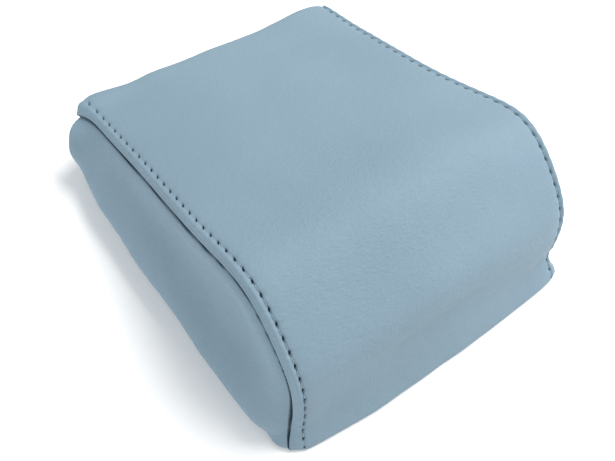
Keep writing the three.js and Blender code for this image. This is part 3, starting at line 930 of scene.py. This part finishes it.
def wadding():
    """Thin fleece between cover and foam, with a soft uneven thickness."""
    HALF_WIDTH = 89.5
    rows = slice(*np.searchsorted(path_s, (10, cover_length - 12), side="left"), 4)
    s = path_s[rows, None]
    x = np.linspace(-HALF_WIDTH, HALF_WIDTH, 46)[None, :]
    edge = 1 - smoothstep(0, 4, HALF_WIDTH - np.abs(x))
    loft = ripples(s, x, 30, 9, 0.12)
    face = in_space(x + 0 * s, 1.95 - 0.8 * fullness(s, x) + 0.9 * edge + loft, rows)
    back = in_space(x + 0 * s, 5.15 - 0.9 * edge + 0.5 * loft, rows)
    points, faces = sheet(face, back)
    made = piece("wadding_fleece", points, faces, WADDING)
    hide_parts("wadding_wrap")


# ------------------------------------------------------------------------------------- underneath

BOTTOM_Z = 2.75


def bottom_edge_x(y):
    """Half width of the bottom panels: where the side panels' turned edges end."""
    x = side_x(y[None, :], np.full((1, len(y)), SIDE_FOOT), 1)[0]
    return x[0] - 0.9 * CURL_RADIUS * 1.87 - 1.9


def bottom_panel(name, node, rear_y, front_y):
    y = np.linspace(rear_y, front_y, max(8, int(abs(rear_y - front_y) / 1.6)))
    spread = np.linspace(-1, 1, 90)
    spread = np.sign(spread) * (1 - (1 - np.abs(spread)) ** 1.15)
    x = bottom_edge_x(y)[:, None] * spread[None, :]
    y = np.broadcast_to(y[:, None], x.shape)
    near = np.minimum(np.abs(np.abs(x) - np.abs(x).max(1, keepdims=True)),
                      np.minimum(rear_y - y, y - front_y))
    z = BOTTOM_Z + 1.3 * bump(near, 1.3) + 0.12 + ripples(x, y, 60, 22, 0.08)
    face = np.stack([x, y, z], -1)
    back = face + [0, 0, SKIN]
    points, faces = sheet(face, back)
    made = piece(name, points, faces, LEATHER)
    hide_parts(node)


def flat_stitches(name, lines, pitch, radius, z, material):
    """Stitches that show underneath, along straight lines given by their ends."""
    parts = []
    for (x0, y0), (x1, y1) in lines:
        count = max(2, int(math.hypot(x1 - x0, y1 - y0)))
        share = np.linspace(0, 1, count)[:, None]
        line = np.array([[x0, y0, z]]) * (1 - share) + np.array([[x1, y1, z]]) * share
        outward = np.tile([0.0, 0.0, -1.0], (count, 1))
        parts.append(stitch_row(line, outward, pitch, radius, gap=0.7, dip=0.45, sides=6, steps=8))
    points, faces = merged(parts)
    return piece(name, points, faces, material)


def zip_tape(name, node, side):
    low, high = (np.array(c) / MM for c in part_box(node))
    x = np.linspace(low[0], high[0], 150)[None, :]
    across = np.linspace(0, 1, 14)[:, None]
    near, far = (high[1], low[1]) if side < 0 else (low[1], high[1])
    y = near + (far - near) * across + 0 * x
    rib = 0.07 * bump(across - 0.93, 0.05) + ripples(x, y, 40, 16, 0.03)
    face = np.stack([x + 0 * y, y, 4.68 - rib], -1)
    back = np.stack([x + 0 * y, y, 5.05 + 0 * y], -1)
    points, faces = sheet(face, back)
    made = piece(name, points, faces, TAPE)
    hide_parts(node)


def zip_coil(name, node, side):
    """One nylon coil of the chain: flat turns whose heads reach between the other coil's heads."""
    PITCH = 1.5
    WIRE = 0.29
    HALF = 94.0
    STEPS = 12
    turns = int(2 * HALF / PITCH)
    t = np.arange(turns * STEPS + 1) / STEPS
    phase = 2 * math.pi * t
    x = -HALF + PITCH * (t + (0.5 if side > 0 else 0.0))
    y = ZIP_Y + side * (1.32 - 1.55 * np.cos(phase))
    z = COIL_Z + 0.36 * np.sin(phase)
    centres = np.stack([x, y, z], -1)
    along = unit(np.gradient(centres, axis=0))
    across = unit(np.cross(along, [1.0, 0, 0]))
    out = np.cross(along, across)
    points, faces = tube(centres, (across, out), WIRE, 7)
    made = piece(name, points, faces, COIL)
    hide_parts(node)


def zip_stop(name, node):
    low, high = (np.array(c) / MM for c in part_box(node))
    bar = rounded_box(low, high, 0.35)
    dent = rounded_box(
        (low[0] + 0.5, low[1] + 0.3, low[2] - 0.12), (high[0] - 0.5, high[1] - 0.3, low[2] + 0.3), 0.14)
    points, faces = merged([bar, dent])
    made = piece(name, points, faces, NICKEL)
    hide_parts(node)


def slider_outline(x, half_length, half_width):
    """Shield shape of a slider's plate: full width at the front, drawn in towards the back."""
    corners = [
        (1.0, 0.55), (0.82, 0.9), (0.5, 1.0), (0.0, 0.97), (-0.5, 0.78), (-0.85, 0.7), (-1.0, 0.5),
    ]
    upper = [(x + a * half_length, ZIP_Y + b * half_width) for a, b in corners]
    return upper + [(px, 2 * ZIP_Y - py) for px, py in reversed(upper)]


def zip_slider():
    low, high = (np.array(c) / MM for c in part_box("zip_slider"))
    tab_low, tab_high = (np.array(c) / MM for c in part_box("zip_pull_tab"))
    middle = (low[0] + high[0]) / 2
    half = (high[0] - low[0]) / 2
    wide = 4.2
    pin_z = 1.05
    lug_y = (tab_high[1] - tab_low[1]) / 2 + 0.15
    x_axis = np.tile([1.0, 0, 0], (7, 1))
    z_axis = np.tile([0, 0, 1.0], (7, 1))
    pin_y = np.linspace(-lug_y - 0.45, lug_y + 0.45, 7)
    pin = np.stack([np.full(7, middle), ZIP_Y + pin_y, np.full(7, pin_z)], -1)
    parts = [
        plate(slider_outline(middle, half, wide), 1.92, 2.68, 0.22),
        plate(slider_outline(middle, half * 0.97, wide * 0.97), 5.45, 6.15, 0.2),
        rounded_box((middle - 1.5, ZIP_Y - 0.22, 2.5), (middle + 1.5, ZIP_Y + 0.22, 5.7), 0.08),
        tube(pin, (x_axis, z_axis), 0.3, 16),
    ]
    for side in (-1, 1):
        inner, outer = ZIP_Y + side * lug_y, ZIP_Y + side * (lug_y + 0.55)
        parts.append(rounded_box(
            (middle - 1.0, min(inner, outer), 0.38), (middle + 1.0, max(inner, outer), 2.2), 0.16))
    points, faces = merged(parts)
    made = piece("zip_slider_body", points, faces, NICKEL, body="slider", smooth=False)
    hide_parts("zip_slider")
    smooth_by_angle(made)


def zip_pull_tab():
    """Leaf with a rounded end and a slot, and the knuckle it turns on."""
    low, high = (np.array(c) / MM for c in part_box("zip_pull_tab"))
    knuckle = 0.7
    pivot_x, pivot_z = high[0] - knuckle, 1.05
    half = (high[1] - low[1]) / 2
    thick = 0.42
    end = low[0]
    angles = np.radians(np.linspace(90, 270, 13))
    tip = [(end + half + half * math.cos(a), ZIP_Y + half * math.sin(a)) for a in angles]
    neck = [(-1.2, 0.62), (-3.2, 0.66), (-6.5, 0.98)]
    upper = [(pivot_x + dx, ZIP_Y + share * half) for dx, share in neck]
    lower = [(x, 2 * ZIP_Y - y) for x, y in reversed(upper)]
    outline = upper + tip + lower
    slot_x = (end + 3.2, end + 9.5)
    slot_half = half * 0.42
    form = bmesh.new()
    outer_loop = [form.verts.new((x, y, pivot_z - thick)) for x, y in outline]
    right = [(slot_x[1] - slot_half + slot_half * math.cos(a), ZIP_Y + slot_half * math.sin(a))
             for a in np.radians(np.linspace(-90, 90, 9))]
    left = [(slot_x[0] + slot_half + slot_half * math.cos(a), ZIP_Y + slot_half * math.sin(a))
            for a in np.radians(np.linspace(90, 270, 9))]
    inner_loop = [form.verts.new((x, y, pivot_z - thick)) for x, y in right + left]
    edges = []
    for loop in (outer_loop, inner_loop):
        edges += [form.edges.new((a, b)) for a, b in zip(loop, loop[1:] + loop[:1])]
    filled = bmesh.ops.triangle_fill(form, edges=edges, use_beauty=True)["geom"]
    sheet_side = [g for g in filled if isinstance(g, bmesh.types.BMFace)]
    raised = bmesh.ops.extrude_face_region(form, geom=sheet_side)["geom"]
    for v in (g for g in raised if isinstance(g, bmesh.types.BMVert)):
        v.co.z = pivot_z + thick
    bmesh.ops.recalc_face_normals(form, faces=form.faces[:])
    rim = [e for e in form.edges if e.is_manifold and e.calc_face_angle() > 1.2]
    bmesh.ops.bevel(form, geom=rim, offset=0.14, segments=2, profile=0.5, affect="EDGES")
    form.verts.index_update()
    leaf = ([list(v.co) for v in form.verts], [[v.index for v in f.verts] for f in form.faces])
    form.free()
    y = np.linspace(-half * 0.98, half * 0.98, 5)
    axis = np.stack([np.full(5, pivot_x), ZIP_Y + y, np.full(5, pivot_z)], -1)
    frames = (np.tile([1.0, 0, 0], (5, 1)), np.tile([0, 0, 1.0], (5, 1)))
    barrel = tube(axis, frames, np.array([0.6, knuckle, knuckle, knuckle, 0.6]), 20)
    arm = rounded_box(
        (pivot_x - 2.2, ZIP_Y - 0.62 * half, pivot_z - thick), (pivot_x - 0.3, ZIP_Y + 0.62 * half,
                                                                 pivot_z + thick), 0.12)
    points, faces = merged([leaf, barrel, arm])
    made = piece("zip_pull_leaf", points, faces, NICKEL, body="pull_tab", smooth=False)
    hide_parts("zip_pull_tab")
    smooth_by_angle(made)


def smooth_by_angle(made, degrees=35):
    """Smooth shading that keeps the edges sharper than an angle."""
    mesh = made.data
    form = bmesh.new()
    form.from_mesh(mesh)
    for face in form.faces:
        face.smooth = True
    for edge in form.edges:
        edge.smooth = edge.is_manifold and edge.calc_face_angle() < math.radians(degrees)
    form.to_mesh(mesh)
    form.free()


def hook_strip(name, node, side):
    """Hook side of a touch fastener: a woven tape with rows of small nylon hooks hanging down."""
    low, high = (np.array(c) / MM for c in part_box(node))
    base_low = 1.75
    x = np.linspace(low[0], high[0], 26)[None, :]
    y = np.linspace(low[1], high[1], 120)[:, None]
    edge = np.minimum(np.minimum(x - low[0], high[0] - x), np.minimum(y - low[1], high[1] - y))
    z = base_low + 0.35 * bump(edge, 0.5) + ripples(x, y, 30, 12, 0.03)
    face = np.stack([x + 0 * y, y + 0 * x, z], -1)
    back = np.stack([x + 0 * y, y + 0 * x, 2.62 + 0 * z], -1)
    base_points, base_faces = sheet(face, back)
    base = piece(name, base_points, base_faces, HOOK_BASE)
    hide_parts(node)
    hooks = []
    share = np.linspace(0, 1, 6)
    angle = np.radians(np.linspace(0, 215, 6))
    for row, hook_y in enumerate(np.arange(low[1] + 3, high[1] - 2.5, 2.1)):
        for hook_x in np.arange(low[0] + 3 + 0.9 * (row % 2), high[0] - 2.6, 1.8):
            lean = -1 if row % 2 else 1
            centres = np.stack([
                np.full(6, hook_x) + rng.normal(0, 0.06),
                hook_y + lean * (0.42 - 0.42 * np.cos(angle)) + rng.normal(0, 0.06),
                np.where(share < 0.2, base_low + 0.1, 0.62 - 0.5 * np.sin(angle)),
            ], -1)
            along = unit(np.gradient(centres, axis=0))
            across = np.tile([1.0, 0, 0], (6, 1))
            out = unit(np.cross(along, across))
            hooks.append(tube(centres, (across, out), 0.11, 4))
    points, faces = merged(hooks)
    field = piece(name + "_hooks", points, faces, HOOK)
    inset = 1.4
    x0, x1, y0, y1 = low[0] + inset, high[0] - inset, low[1] + inset, high[1] - inset
    corners = [(x0, y0), (x1, y0), (x1, y1), (x0, y1)]
    flat_stitches(
        name + "_stitching", list(zip(corners, corners[1:] + corners[:1])), 2.8, 0.2, base_low - 0.1,
        SEAM_THREAD)
    return field


# -------------------------------------------------------------------------------------- the piece

settle = settled_cover()
right_half, left_half = top_wrap(settle)
topstitch(right_half, 1, "topstitch_thread_right", "topstitch_right")
topstitch(left_half, -1, "topstitch_thread_left", "topstitch_left")
side_panel(-1, settle, "cover_side_left", "side_panel_left")
side_panel(1, settle, "cover_side_right", "side_panel_right")
seam_thread(-1, "seam_thread_left")
seam_thread(1, "seam_thread_right")
wadding()
foam_block("comfort_foam", "comfort_foam_layer", SOFT_FOAM)
foam_block("support_foam", "support_foam_core", FIRM_FOAM)
foam_block("base_foam", "base_foam_slab", BASE_FOAM, voxel=2.5)

rear_end = path[0, 0] - 0.6
front_end = path[-1, 0] + 0.6
bottom_panel("bottom_cover_front", "bottom_panel_front", ZIP_Y - ZIP_SLOT / 2, front_end)
bottom_panel("bottom_cover_rear", "bottom_panel_rear", rear_end, ZIP_Y + ZIP_SLOT / 2)
for edge_side, label in ((-1, "front"), (1, "rear")):
    zip_tape("zip_woven_tape_" + label, "zip_tape_" + label, edge_side)
    zip_coil("zip_nylon_coil_" + label, "zip_coil_" + label, edge_side)
    zip_stop("zip_end_stop_" + label, "zip_top_stop_" + label)
zip_stop("zip_foot_stop", "zip_bottom_stop")
zip_slider()
zip_pull_tab()
slot_lines = [((-99, ZIP_Y + side * 6.6), (99, ZIP_Y + side * 6.6)) for side in (-1, 1)]
flat_stitches("zip_stitching", slot_lines, 3.0, 0.2, BOTTOM_Z + 0.02, SEAM_THREAD)
hook_strip("hook_tape_left", "hook_strip_left", -1)
hook_strip("hook_tape_right", "hook_strip_right", 1)


# ------------------------------------------------------------------------------- floor and lights

def floor_material():
    look = Look("pale_floor", (0.93, 0.93, 0.93), 0.6)
    look.tones(look.noise(2.0), (0.925, 0.925, 0.925), (0.94, 0.94, 0.94))
    look.surface.inputs["Specular IOR Level"].default_value = 0.1
    return look.material


def area_light(name, place, target, size, power, colour):
    light = bpy.data.lights.new(name, "AREA")
    light.shape = "DISK"
    light.size = size
    light.energy = power
    light.color = colour
    lamp = bpy.data.objects.new(name, light)
    lamp.location = place
    lamp.rotation_euler = (Vector(place) - Vector(target)).to_track_quat("Z", "Y").to_euler()
    bpy.context.scene.collection.objects.link(lamp)


floor_mesh = bpy.data.meshes.new("floor")
reach = 3.0
floor_mesh.from_pydata([(-reach, -reach, 0), (reach, -reach, 0), (reach, reach, 0), (-reach, reach, 0)],
                       [], [(0, 1, 2, 3)])
floor_mesh.materials.append(floor_material())
floor = bpy.data.objects.new("floor", floor_mesh)
bpy.context.scene.collection.objects.link(floor)

centre = (0, 0, 0.05)
area_light("key", (0.78, -0.08, 1.24), centre, 1.1, 34, (1, 0.98, 0.955))
area_light("fill", (-1.3, 0.05, 0.42), centre, 1.0, 10, (0.97, 0.985, 1))
area_light("front", (0.45, -1.35, 0.4), centre, 1.0, 5.6, (1, 1, 1))

world = bpy.data.worlds.new("studio")
world.use_nodes = True
world.node_tree.nodes["Background"].inputs["Color"].default_value = (0.95, 0.98, 1, 1)
world.node_tree.nodes["Background"].inputs["Strength"].default_value = 0.58
bpy.context.scene.world = world
bpy.context.scene.view_settings.view_transform = "Standard"

right = Vector((0.80911, -0.58477, 0.05821))
back = Vector((-0.3675, -0.42621, 0.82661)).normalized()
right = (right - back * right.dot(back)).normalized()
up = back.cross(right)
lens = bpy.data.cameras.new("camera")
lens.lens = 41.2
lens.sensor_width = 36
camera = bpy.data.objects.new("camera", lens)
camera.matrix_world = Matrix.Translation((-0.1837, -0.2117, 0.3896)) @ Matrix(
    (right, up, back)).transposed().to_4x4()
bpy.context.scene.collection.objects.link(camera)
bpy.context.scene.camera = camera
